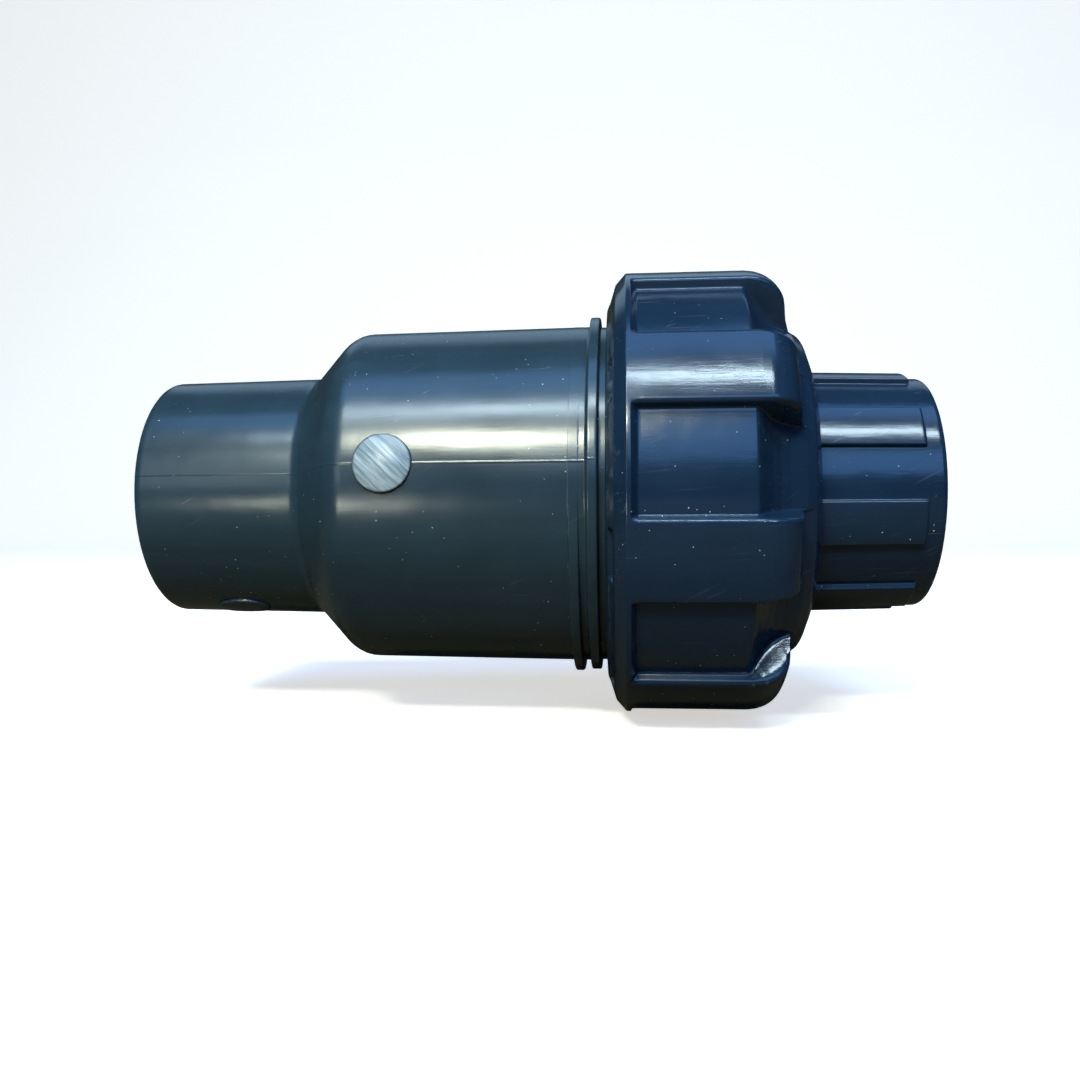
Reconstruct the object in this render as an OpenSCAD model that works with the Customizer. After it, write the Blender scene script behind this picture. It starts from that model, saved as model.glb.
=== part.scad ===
// Spring-loaded check valve for 25 mm solvent-welded pipe, with a union nut at its inlet.
// The flow axis is X. Water enters at +X, lifts the poppet off its seat and leaves at -X.
// The origin is on the flow axis at mid length, and +Z is up.

/* [Pipe sockets] */
// Bore of both solvent sockets, for pipe of 25 mm outside diameter
socket_bore_d = 25.3; // [24:0.1:26]
// Depth of both solvent sockets
socket_depth = 19; // [14:0.5:22]
// Bore of the waterway behind each pipe stop
waterway_d = 21; // [17:0.5:23]
// Outside diameter of the outlet socket at its mouth
outlet_d = 31.9; // [30:0.1:36]
// Outside diameter of the outlet socket where the cone starts
outlet_root_d = 32.6; // [31:0.1:37]
// Length of the outlet socket, from its mouth to the cone
outlet_l = 21.4; // [20:0.1:30]

/* [Chamber] */
// Length of the cone between socket and chamber
cone_l = 7; // [5:0.5:10]
// Outside diameter of the chamber beside the cone
chamber_d = 44.4; // [42:0.1:45]
// Outside diameter of the chamber beside the collar
chamber_root_d = 45.2; // [43:0.1:46]
// Length of the chamber, from the cone to the collar
chamber_l = 29.6; // [26:0.1:44]
// Wall of the chamber
chamber_wall = 3.4; // [2.8:0.1:4]
// Diameter of the collar that the nut stops at
collar_d = 47.6; // [46:0.1:50]
// Thickness of the collar
collar_t = 1.3; // [1:0.1:2]
// How far the witness ridge beside the collar stands out at the bottom
ridge_drop = 1.4; // [0.5:0.1:2]
// Diameter of the trimmed moulding gate
gate_d = 7.4; // [5:0.1:9]
// Height of the trimmed moulding gate
gate_h = 0.3; // [0.2:0.05:0.6]
// Length of the blank oval marking pad under the outlet socket
mark_l = 7; // [6:0.5:12]

/* [Union nut] */
// Diameter over the grip lobes
nut_d = 58.7; // [58:0.1:66]
// Diameter between the grip lobes
nut_valley_d = 56; // [55.6:0.1:57.4]
// Number of grip lobes on the nut
nut_lobes = 8; // [6:1:10]
// Angle that each lobe covers
nut_lobe_angle = 20; // [14:1:26]
// Angle of the first lobe below the horizontal
nut_lobe_start = 15; // [0:1:44]
// Length of the threaded stretch inside the nut
nut_thread_l = 12.3; // [11:0.1:18]
// Thickness of the nut in front of the connector's flange
nut_front_l = 7.6; // [6:0.1:12]
// Width of the rim beside the body's collar
nut_rim_w = 3.6; // [3:0.1:5]
// Gap between the body's collar and the nut
nut_gap = 0.9; // [0.4:0.1:2]

/* [Union thread] */
// Thread pitch, right-handed
pitch = 4; // [3.5:0.1:4.5]
// Outside diameter of the body's thread
thread_d = 47.8; // [47:0.1:48.4]
// Height of the thread
thread_h = 1.4; // [1.1:0.1:1.5]
// Radial clearance of the thread at crest and root
thread_clearance = 0.3; // [0.2:0.05:0.4]

/* [End connector] */
// Diameter over the connector's grip pads beside the nut
connector_d = 32.7; // [31:0.1:34]
// Diameter over the connector's grip pads at its mouth
connector_end_d = 31.6; // [30:0.1:33]
// Depth of the valleys between the pads
connector_valley = 0.75; // [0.4:0.05:1]
// Number of grip pads
connector_pads = 8; // [6:1:10]
// Angle that each pad covers
connector_pad_angle = 20.4; // [14:0.2:26]
// Angle of the first pad below the horizontal
connector_pad_start = 13.5; // [0:0.5:44]
// Length of the connector outside the nut
connector_out_l = 15.5; // [14:0.1:26]
// Thickness of the flange held by the nut
flange_t = 4.6; // [4:0.1:7]
// Length of the plain ring beyond the pads
connector_lip_l = 2.4; // [1:0.1:3]

/* [Seat] */
// Thickness of the seat ring
seat_t = 5.4; // [5.2:0.1:7]
// Hole through the seat ring
seat_hole_d = 22; // [18:0.5:23]
// Thickness of the section of the face seal
face_seal_t = 2.6; // [2.4:0.1:2.8]
// Thickness of the section of the seat ring's outer seal
seat_seal_t = 1.5; // [1.2:0.1:1.8]

/* [Poppet] */
// Outside diameter of the poppet's disc
poppet_d = 30.4; // [28:0.1:32]
// Diameter of the poppet's stem
stem_d = 7; // [6:0.1:8]
// Length that the stem reaches past the guide's hub
stem_reach = 4.5; // [4:0.1:6]
// How far the poppet lifts
lift = 5.5; // [4:0.1:6]
// Diameter of the flat seal on the disc
disc_seal_d = 28; // [26.5:0.1:28.4]
// Thickness of the flat seal
disc_seal_t = 2.5; // [2:0.1:3]
// Space between the clamp plate and the hole in the seat
retainer_gap = 1.5; // [0.8:0.1:2.5]
// Thread diameter of the screw through the clamp plate
screw_d = 4; // [3:0.1:4]

/* [Stem guide and spring] */
// Length of the guide's outer ring and hub
guide_l = 8; // [6:0.5:10]
// Diameter of the guide's hub
hub_d = 14; // [13:0.1:15]
// Number of arms between the hub and the ring
guide_arms = 3; // [3:1:4]
// Diameter of the guide's bearing bush
bush_d = 10; // [9.6:0.1:10.6]
// Mean diameter of the closing spring
spring_d = 11.4; // [10.6:0.1:12]
// Wire diameter of the closing spring
wire_d = 1; // [0.8:0.1:1.2]
// Turns of the closing spring
spring_turns = 7; // [5:0.5:9]
// Thickness of the washer under the spring
washer_t = 0.8; // [0.6:0.1:1.2]

/* [Hidden] */

$fn = 96;
slide_gap = 0.05;      // radial gap of a sliding fit
seat_gap = 0.05;       // gap left between the flat seal and the seat
flange_gap = 0.2;      // gap between the flange and the nut
union_gap = 0.6;       // gap between the body's end and the flange
free_gap = 0.35;       // gap between pieces that pass each other
touch = 0.01;          // gap between pieces that touch
over = 0.5;            // overlap of a cutter past the face that it cuts

// Lengths that add up along the flow axis
total_l = outlet_l + cone_l + chamber_l + collar_t + nut_gap + nut_thread_l + union_gap
    + flange_t + flange_gap + nut_front_l + connector_out_l;
x_out = -total_l / 2;
x_cone = x_out + outlet_l;
x_chamber = x_cone + cone_l;
x_collar = x_chamber + chamber_l;
x_nut = x_collar + collar_t + nut_gap;
x_body_end = x_nut + nut_thread_l;
x_flange = x_body_end + union_gap;
x_shoulder = x_flange + flange_t + flange_gap;
x_nut_front = x_shoulder + nut_front_l;
x_in = total_l / 2;

// Body
thread_root_r = thread_d / 2 - thread_h;
chamber_r = chamber_d / 2 - chamber_wall;
bed_r = chamber_r + 1.2;                  // counterbore for the seat ring
waterway_r = waterway_d / 2;
socket_r = socket_bore_d / 2;
throat_slope = 1;
x_step = x_chamber + 2.6;                 // step that the guide rests on
step_r = chamber_r - 1.5;
x_throat = x_step - (step_r - waterway_r) / throat_slope;
x_pipe_stop_out = x_out + socket_depth;
x_pipe_stop_in = x_in - socket_depth;
mouth_chamfer = 0.8;
parting_angle = -10;                      // mould parting line, below the horizontal
gate_x = x_chamber + 5.5;
ridge_t = 1.3;
ridge_gap = 0.9;
thread_runin = 1.2;
thread_base_w = 2.3;
thread_crest_w = 1;
thread_foot = 0.4;                        // depth that the ridge reaches into its wall

// Nut
nut_r = nut_d / 2;
nut_valley_r = nut_valley_d / 2;
nut_bore_r = thread_d / 2 + thread_clearance;
nut_hole_r = connector_d / 2 + free_gap;
nut_pocket_depth = 10;
nut_pocket_wall = 1.2;
nut_pocket_side = 4;                      // angle left on each side of a pocket
lobe_end_l = 4.6;                         // rounded front ends of the lobes, along the axis
lobe_end_h = 3.85;                        // and across it
nut_front_r = nut_hole_r + 1;

// Connector
flange_r = nut_bore_r - thread_h - thread_clearance - free_gap;
connector_r = connector_d / 2;
connector_end_r = connector_end_d / 2;
connector_round = 1.4;

// Seat ring and its seals
x_seat = x_body_end - seat_t;
seat_r = bed_r - slide_gap;
seat_hole_r = seat_hole_d / 2;
face_seal_r = (seat_hole_r + seat_r) / 2 + 1.2;
face_groove_d = face_seal_t - union_gap + 0.1;
seat_seal_r = seat_r - seat_seal_t / 2;
seat_seal_x = x_seat + 1.7;

// Poppet: the flat seal lies between the disc and the clamp plate
x_seal = x_seat - seat_gap - disc_seal_t;
disc_t = 3;
disc_slope = 2.4;                         // slant at the back edge of the disc
x_disc = x_seal - disc_t;
rim_h = disc_seal_t - 0.9;
retainer_t = 1.6;
retainer_boss_d = 8;
screw_head_d = 7;
screw_head_t = 2.2;
screw_l = 12;
screw_washer_t = 0.6;
screw_washer_d = 8.4;
clip_t = 0.8;
clip_groove_d = stem_d - 1.8;

// Guide, spring and clip
x_guide = x_step + guide_l;
bush_flange_t = 1;
bush_flange_d = bush_d + 2.4;
guide_ring_t = 2;
arm_t = 2.2;
hub_nose = 2;
x_hub = x_step - hub_nose;
x_washer = x_guide + bush_flange_t;
x_spring = x_washer + washer_t;
spring_l = x_disc - x_spring;
x_stem_end = x_hub - stem_reach;
x_clip = x_stem_end + 1.2;

// A quarter of an oval in a turned outline, as [radius, position] points
function quarter(r, x, size_r, size_x, steps = 7) =
    [for (i = [0 : steps]) [r + size_r * cos(90 * i / steps), x + size_x * sin(90 * i / steps)]];

// A turned outline of [radius, position] points, laid along the flow axis
module turned(points) {
    rotate([0, 90, 0]) rotate_extrude() polygon(points);
}

// A stretch of a turned outline, centred on an angle below the horizontal
module turned_stretch(points, middle, width) {
    rotate([0, 90, 0])
        rotate_extrude(angle = width, start = middle - 90 - width / 2) polygon(points);
}

// A round bar or hole along the flow axis
module bar(r, from, to) {
    translate([from, 0, 0]) rotate([0, 90, 0]) cylinder(r = r, h = to - from);
}

// A ring along the flow axis
module ring(r_out, r_in, from, to) {
    turned([[r_in, from], [r_out, from], [r_out, to], [r_in, to]]);
}

// A ring of round section
module round_ring(r, x, section) {
    rotate([0, 90, 0]) rotate_extrude() translate([r, x]) circle(d = section, $fn = 32);
}

// A right-handed helical ridge. Its section is a trapezium from the base to the crest.
module helix(base_r, crest_r, from, to) {
    steps_per_turn = 30;
    start_angle = 5;
    turns = (to - from) / pitch;
    steps = round(turns * steps_per_turn);
    section = [[base_r, -thread_base_w / 2], [base_r, thread_base_w / 2],
        [crest_r, thread_crest_w / 2], [crest_r, -thread_crest_w / 2]];
    points = [for (i = [0 : steps], p = section)
        let (turn = i / steps_per_turn, a = start_angle + 360 * turn)
        [p[0] * cos(a), p[0] * sin(a), from + turn * pitch + p[1]]];
    outward = crest_r > base_r;
    quads = [for (i = [0 : steps - 1], k = [0 : 3])
        let (n = (k + 1) % 4)
        [4 * i + k, 4 * i + n, 4 * i + 4 + n, 4 * i + 4 + k]];
    triangles = [for (q = quads) each [[q[0], q[1], q[2]], [q[0], q[2], q[3]]]];
    caps = [[0, 3, 2], [0, 2, 1],
        [4 * steps, 4 * steps + 1, 4 * steps + 2], [4 * steps, 4 * steps + 2, 4 * steps + 3]];
    faces = concat(triangles, caps);
    rotate([0, 90, 0])
        polyhedron(points, outward ? [for (f = faces) [f[2], f[1], f[0]]] : faces);
}

// Outlet socket, cone, chamber, collar and threaded end, moulded in one
module valve_body() {
    socket_rr = outlet_root_d / 2;
    chamber_root_r = chamber_root_d / 2;
    outline = concat(
        [[0, x_out], [outlet_d / 2 - mouth_chamfer, x_out], [outlet_d / 2, x_out + mouth_chamfer]],
        [[socket_rr, x_cone - 1.6], [socket_rr + 0.5, x_cone - 0.2],
        [chamber_d / 2 - 1.6, x_chamber - 1.6], [chamber_d / 2 - 0.4, x_chamber - 0.2],
        [chamber_d / 2, x_chamber + 1.2], [chamber_root_r, x_collar],
        [collar_d / 2, x_collar], [collar_d / 2, x_collar + collar_t],
        [thread_root_r, x_collar + collar_t], [thread_root_r, x_body_end], [0, x_body_end]]);
    hollow = [[0, x_out - over], [socket_r, x_out - over], [socket_r, x_pipe_stop_out],
        [waterway_r, x_pipe_stop_out], [waterway_r, x_throat], [step_r, x_step],
        [chamber_r, x_step], [chamber_r, x_seat], [bed_r, x_seat],
        [bed_r, x_body_end + over], [0, x_body_end + over]];
    color([0.23, 0.29, 0.33]) difference() {
        union() {
            turned(outline);
            helix(thread_root_r - thread_foot, thread_d / 2, x_nut + thread_runin,
                x_body_end - thread_runin);
            translate([0, 0, -ridge_drop])
                bar(chamber_root_r, x_collar - ridge_gap - ridge_t, x_collar - ridge_gap);
            rotate([parting_angle, 0, 0]) translate([gate_x, 0, 0]) rotate([90, 0, 0])
                cylinder(d = gate_d, h = chamber_d / 2 + gate_h);
            marking_pad();
        }
        turned(hollow);
    }
}

// Blank oval pad where a maker would put a marking
module marking_pad() {
    pad_w = 4.6;
    pad_h = 0.35;
    pad_angle = 66;
    pad_share = 0.5;
    pad_x = x_out + outlet_l * pad_share;
    socket_there = outlet_d / 2 + (outlet_root_d - outlet_d) / 2 * pad_share;
    rotate([pad_angle, 0, 0]) translate([pad_x, 0, 0]) rotate([90, 0, 0]) intersection() {
        translate([0, 0, socket_there - 1.5]) linear_extrude(1.5 + pad_h) {
            square([mark_l - pad_w, pad_w], center = true);
            for (side = [-1, 1]) translate([side * (mark_l - pad_w) / 2, 0]) circle(d = pad_w);
        }
        rotate([0, 90, 0]) cylinder(r = socket_there + pad_h, h = mark_l, center = true);
    }
}

// Nut with grip lobes, an inner thread and a front shoulder that pulls the flange in
module union_nut() {
    shell = [[nut_hole_r, x_nut], [nut_bore_r + 0.8, x_nut], [nut_valley_r - 0.6, x_nut + 1.1],
        [nut_r, x_nut + 2.5], [nut_r, x_nut + nut_rim_w - 0.4], [nut_valley_r, x_nut + nut_rim_w],
        [nut_valley_r, x_shoulder - 0.9], [nut_valley_r - 2, x_shoulder + 0.3],
        [nut_valley_r - 4.1, x_shoulder + 1.9], [nut_valley_r - 5.7, x_shoulder + 4.2],
        [nut_front_r + 2.4, x_nut_front - 1], [nut_front_r + 0.6, x_nut_front],
        [nut_hole_r, x_nut_front]];
    lobe_foot_r = nut_front_r + 2.8;
    lobe_back_x = x_nut + nut_rim_w - 0.6;
    lobe = concat([[nut_bore_r + 2, lobe_back_x], [nut_r, lobe_back_x]],
        quarter(nut_r - lobe_end_h, x_shoulder, lobe_end_h, lobe_end_l),
        [[lobe_foot_r, x_shoulder + lobe_end_l], [lobe_foot_r, x_shoulder]]);
    pocket = [[nut_bore_r + nut_pocket_wall, x_nut - over],
        [nut_valley_r - nut_pocket_wall / 2, x_nut - over],
        [nut_valley_r - nut_pocket_wall / 2, x_nut + nut_pocket_depth],
        [nut_bore_r + nut_pocket_wall, x_nut + nut_pocket_depth]];
    hollow = [[0, x_nut - over], [nut_bore_r, x_nut - over], [nut_bore_r, x_shoulder],
        [nut_hole_r, x_shoulder], [nut_hole_r, x_nut_front + over], [0, x_nut_front + over]];
    color([0.17, 0.24, 0.29]) {
        difference() {
            union() {
                turned(shell);
                for (i = [0 : nut_lobes - 1])
                    turned_stretch(lobe, nut_lobe_start + i * 360 / nut_lobes, nut_lobe_angle);
            }
            for (i = [0 : nut_lobes - 1])
                turned_stretch(pocket, nut_lobe_start + i * 360 / nut_lobes,
                    nut_lobe_angle - 2 * nut_pocket_side);
            turned(hollow);
        }
        helix(nut_bore_r + thread_foot, nut_bore_r - thread_h,
            x_nut + thread_runin + pitch / 2, x_body_end - thread_runin / 2);
    }
}

// Loose union end: flange, grip pads and the inlet socket
module end_connector() {
    neck_r = connector_r - connector_valley;
    end_r = connector_end_r - connector_valley;
    outline = concat([[0, x_flange], [flange_r, x_flange],
        [flange_r, x_flange + flange_t], [neck_r, x_flange + flange_t]],
        quarter(end_r - connector_round, x_in - connector_round, connector_round,
            connector_round), [[0, x_in]]);
    x_pad_end = x_in - connector_lip_l;
    pad = [[neck_r - 1, x_flange + 1], [connector_r, x_flange + 1],
        [connector_end_r, x_pad_end - 0.5], [connector_end_r - 0.5, x_pad_end],
        [end_r - 1, x_pad_end]];
    hollow = [[0, x_flange - over], [waterway_r, x_flange - over], [waterway_r, x_pipe_stop_in],
        [socket_r, x_pipe_stop_in], [socket_r, x_in + over], [0, x_in + over]];
    color([0.17, 0.24, 0.29]) difference() {
        union() {
            turned(outline);
            for (i = [0 : connector_pads - 1])
                turned_stretch(pad, connector_pad_start + i * 360 / connector_pads,
                    connector_pad_angle);
        }
        turned(hollow);
    }
}

// Ring that the poppet closes against, with a raised lip and two seal grooves
module seat_ring() {
    lip_h = 0.6;
    lip_w = 1.4;
    outline = [[seat_hole_r, x_seat], [seat_hole_r + lip_w, x_seat],
        [seat_hole_r + lip_w + lip_h, x_seat + lip_h], [seat_r, x_seat + lip_h],
        [seat_r, x_body_end], [seat_hole_r + 0.6, x_body_end], [seat_hole_r, x_body_end - 0.6]];
    color([0.3, 0.33, 0.35]) difference() {
        turned(outline);
        ring(face_seal_r + face_seal_t / 2, face_seal_r - face_seal_t / 2,
            x_body_end - face_groove_d, x_body_end + over);
        ring(seat_r + over, seat_seal_r - seat_seal_t / 2,
            seat_seal_x - seat_seal_t / 2, seat_seal_x + seat_seal_t / 2);
    }
}

// O-ring round the seat ring
module seat_ring_seal() {
    color([0.05, 0.05, 0.05]) round_ring(seat_seal_r, seat_seal_x, seat_seal_t - 2 * touch);
}

// O-ring between the seat ring and the connector's flange
module union_face_seal() {
    color([0.05, 0.05, 0.05])
        round_ring(face_seal_r, x_body_end - face_groove_d + face_seal_t / 2,
            face_seal_t - 2 * touch);
}

// Disc and stem in one
module poppet() {
    stem_r = stem_d / 2;
    disc_r = poppet_d / 2;
    outline = [[0, x_stem_end], [stem_r - 0.6, x_stem_end], [stem_r, x_stem_end + 0.6],
        [stem_r, x_disc], [disc_r - disc_slope, x_disc], [disc_r, x_disc + disc_t - 1],
        [disc_r, x_seal + rim_h], [disc_seal_d / 2 + slide_gap, x_seal + rim_h],
        [disc_seal_d / 2 + slide_gap, x_seal], [retainer_boss_d / 2 - slide_gap, x_seal],
        [retainer_boss_d / 2 - slide_gap, x_seal + disc_seal_t], [0, x_seal + disc_seal_t]];
    color([0.2, 0.22, 0.24]) difference() {
        turned(outline);
        bar(screw_d / 2, x_seal + disc_seal_t - screw_l, x_seal + disc_seal_t + over);
        ring(stem_r + over, clip_groove_d / 2, x_clip, x_clip + clip_t);
    }
}

// Flat rubber washer that closes on the seat
module poppet_seal() {
    color([0.06, 0.06, 0.06])
        ring(disc_seal_d / 2, retainer_boss_d / 2, x_seal, x_seal + disc_seal_t);
}

// Plate that clamps the flat seal against the disc
module seal_clamp_plate() {
    plate_x = x_seal + disc_seal_t;
    r = seat_hole_r - retainer_gap;
    color([0.3, 0.33, 0.35])
        turned([[screw_d / 2 + 0.2, plate_x], [r, plate_x], [r, plate_x + retainer_t - 0.6],
            [r - 0.6, plate_x + retainer_t], [screw_d / 2 + 0.2, plate_x + retainer_t]]);
}

// Washer under the head of the clamp screw
module clamp_screw_washer() {
    from = x_seal + disc_seal_t + retainer_t;
    color([0.75, 0.76, 0.78])
        ring(screw_washer_d / 2, screw_d / 2 + 0.15, from, from + screw_washer_t);
}

// Pan-head screw into the stem, with a cross recess
module clamp_screw() {
    head_x = x_seal + disc_seal_t + retainer_t + screw_washer_t;
    head_round = screw_head_t * 2 / 3;
    recess_w = 0.9;
    recess_l = 3.4;
    r = screw_head_d / 2;
    color([0.75, 0.76, 0.78]) difference() {
        union() {
            bar(screw_d / 2 - touch, x_seal + disc_seal_t - screw_l + 1, head_x);
            turned(concat([[0, head_x], [r, head_x], [r, head_x + screw_head_t - head_round]],
                quarter(r - head_round, head_x + screw_head_t - head_round, head_round, head_round),
                [[0, head_x + screw_head_t]]));
        }
        for (turn = [0, 90])
            rotate([turn, 0, 0])
                translate([head_x + screw_head_t * 0.6, -recess_w / 2, -recess_l / 2])
                    cube([screw_head_t, recess_w, recess_l]);
    }
}

// Spring that pushes the poppet onto its seat
module closing_spring() {
    sides = 8;
    steps_per_turn = 24;
    steps = round(spring_turns * steps_per_turn);
    end_gap = 0.03;
    reach = spring_l - wire_d - 2 * end_gap;
    points = [for (i = [0 : steps], k = [0 : sides - 1])
        let (a = 360 * i / steps_per_turn, b = 360 * k / sides,
            r = spring_d / 2 + wire_d / 2 * cos(b))
        [r * cos(a), r * sin(a), x_spring + wire_d / 2 + end_gap + reach * i / steps
            + wire_d / 2 * sin(b)]];
    walls = [for (i = [0 : steps - 1], k = [0 : sides - 1])
        let (n = (k + 1) % sides, a = sides * i + k, b = sides * i + n)
        each [[a, b, a + sides], [b, b + sides, a + sides]]];
    cap_a = [for (k = [1 : sides - 2]) [0, k + 1, k]];
    last = sides * steps;
    cap_b = [for (k = [1 : sides - 2]) [last, last + k, last + k + 1]];
    color([0.7, 0.71, 0.73]) rotate([0, 90, 0]) polyhedron(points, concat(walls, cap_a, cap_b));
}

// Washer between the spring and the guide's hub
module spring_washer() {
    color([0.75, 0.76, 0.78])
        ring(spring_d / 2 + wire_d + 0.3, stem_d / 2 + free_gap, x_washer, x_washer + washer_t);
}

// Spider that carries the stem in the middle of the chamber
module stem_guide() {
    ring_r = chamber_r - slide_gap;
    arm_root = 0.6;
    arm_l = ring_r - guide_ring_t - hub_d / 2 + 2 * arm_root;
    color([0.3, 0.33, 0.35]) {
        ring(ring_r, ring_r - guide_ring_t, x_step, x_guide);
        ring(hub_d / 2, bush_d / 2, x_hub, x_guide);
        for (i = [0 : guide_arms - 1])
            rotate([i * 360 / guide_arms, 0, 0])
                translate([x_step, -arm_t / 2, hub_d / 2 - arm_root]) cube([guide_l, arm_t, arm_l]);
    }
}

// Flanged bush that the stem slides in
module guide_bush() {
    bore_r = stem_d / 2 + slide_gap;
    color([0.85, 0.83, 0.78])
        turned([[bore_r, x_hub], [bush_d / 2, x_hub], [bush_d / 2, x_guide],
            [bush_flange_d / 2, x_guide], [bush_flange_d / 2, x_guide + bush_flange_t],
            [bore_r, x_guide + bush_flange_t]]);
}

// Snap ring in the stem's groove
module stem_clip() {
    gap_angle = 60;
    clip_r = stem_d / 2 + 1.6;
    from = x_clip + 2 * touch;
    to = x_clip + clip_t - 2 * touch;
    color([0.7, 0.71, 0.73]) turned_stretch([[clip_groove_d / 2, from], [clip_r, from],
        [clip_r, to], [clip_groove_d / 2, to]], 0, 360 - gap_angle);
}

valve_body();
union_nut();
end_connector();
seat_ring();
seat_ring_seal();
union_face_seal();
poppet();
poppet_seal();
seal_clamp_plate();
clamp_screw();
clamp_screw_washer();
closing_spring();
spring_washer();
stem_guide();
guide_bush();
stem_clip();
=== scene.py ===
import math

import bpy
import numpy as np
from mathutils import Matrix, Vector


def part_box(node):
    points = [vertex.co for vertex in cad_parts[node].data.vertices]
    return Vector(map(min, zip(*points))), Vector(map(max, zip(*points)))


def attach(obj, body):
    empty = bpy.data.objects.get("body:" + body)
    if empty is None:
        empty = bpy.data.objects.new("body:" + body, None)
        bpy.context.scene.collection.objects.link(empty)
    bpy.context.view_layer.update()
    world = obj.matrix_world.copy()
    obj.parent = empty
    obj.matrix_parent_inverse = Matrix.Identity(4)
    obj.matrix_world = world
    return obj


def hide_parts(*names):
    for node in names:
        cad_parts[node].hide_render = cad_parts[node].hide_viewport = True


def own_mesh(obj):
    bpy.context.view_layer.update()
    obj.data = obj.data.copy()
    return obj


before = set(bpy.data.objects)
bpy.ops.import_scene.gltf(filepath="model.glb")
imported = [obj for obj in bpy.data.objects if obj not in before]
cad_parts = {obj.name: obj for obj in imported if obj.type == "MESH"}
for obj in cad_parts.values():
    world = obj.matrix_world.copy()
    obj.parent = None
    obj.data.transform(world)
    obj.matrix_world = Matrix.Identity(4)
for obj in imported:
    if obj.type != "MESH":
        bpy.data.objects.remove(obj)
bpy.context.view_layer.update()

MM = 0.001

# ---------------------------------------------------------------- sizes, in mm
# Stations along the flow axis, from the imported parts
X_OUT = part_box("valve_body")[0].x / MM
X_BODY_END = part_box("valve_body")[1].x / MM
X_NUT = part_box("union_nut")[0].x / MM
X_NUT_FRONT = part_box("union_nut")[1].x / MM
NUT_R = 29.35
X_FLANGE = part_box("end_connector")[0].x / MM
X_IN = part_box("end_connector")[1].x / MM
X_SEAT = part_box("seat_ring")[0].x / MM
X_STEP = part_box("stem_guide")[0].x / MM + 2
SEAT_BED_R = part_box("seat_ring")[1].z / MM + 0.05
CHAMBER_BORE_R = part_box("stem_guide")[1].y / MM + 0.05

# Sockets and waterway
SOCKET_BORE_R = 12.65
SOCKET_DEPTH = 19.0
WATERWAY_R = 10.5
MOUTH_CHAMFER = 0.6

# Body
OUTLET_R = 15.95
OUTLET_ROOT_R = 16.3
X_CONE = X_OUT + 21.4
X_CHAMBER = X_CONE + 5.6
CHAMBER_R = 22.2
CHAMBER_ROOT_R = 22.6
COLLAR_R = 23.8
COLLAR_T = 1.3
X_COLLAR = X_NUT - 0.9 - COLLAR_T
STEP_R = CHAMBER_BORE_R - 1.5
RIDGE_T = 1.3
RIDGE_GAP = 0.9
RIDGE_DROP = 1.4
PARTING_ANGLE = -10.0
PARTING_H = 0.05
PARTING_W = 0.12
GATE_X = X_CHAMBER + 6.9
GATE_R = 3.55
GATE_H = 0.3
MARK_X = X_OUT + 10.9
MARK_ANGLE = 66.0

# Thread
PITCH = 4.0
THREAD_R = 23.9
THREAD_ROOT_R = 22.5
NUT_BORE_R = 24.2
THREAD_RUNIN = 1.2

# Nut
NUT_VALLEY_R = 28.0
NUT_LOBES = 8
NUT_LOBE_HALF = 10.0
NUT_LOBE_START = 15.0
NUT_HOLE_R = 16.7
X_SHOULDER = X_NUT_FRONT - 7.6
POCKET_DEPTH = 10.0
POCKET_HALF = 6.0
LOBE_END_L = 4.6
LOBE_END_H = 3.85

# Connector
FLANGE_R = 21.85
FLANGE_T = 4.6
PAD_R = 16.35
PAD_END_R = 15.8
VALLEY_DEPTH = 0.75
PADS = 8
PAD_HALF = 10.2
PAD_START = 13.5
PAD_LIP = 2.4


# ---------------------------------------------------------------- mesh helpers
def mesh_object(name, verts, faces, material):
    """A smooth mesh from points in mm, with its faces turned outwards."""
    verts = np.asarray(verts, float)
    faces = [tuple(f) for f in faces]
    volume = 0.0
    for f in faces:
        a = verts[f[0]]
        for i in range(1, len(f) - 1):
            volume += np.dot(a, np.cross(verts[f[i]], verts[f[i + 1]]))
    if volume < 0:
        faces = [f[::-1] for f in faces]
    mesh = bpy.data.meshes.new(name)
    mesh.from_pydata((verts * MM).tolist(), [], faces)
    mesh.validate()
    mesh.shade_smooth()
    mesh.materials.append(material)
    obj = bpy.data.objects.new(name, mesh)
    bpy.context.scene.collection.objects.link(obj)
    return obj


ARC_STEPS = 5
POINTS_PER_CORNER = ARC_STEPS + 3           # the arc's points and a support point on either side


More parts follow.
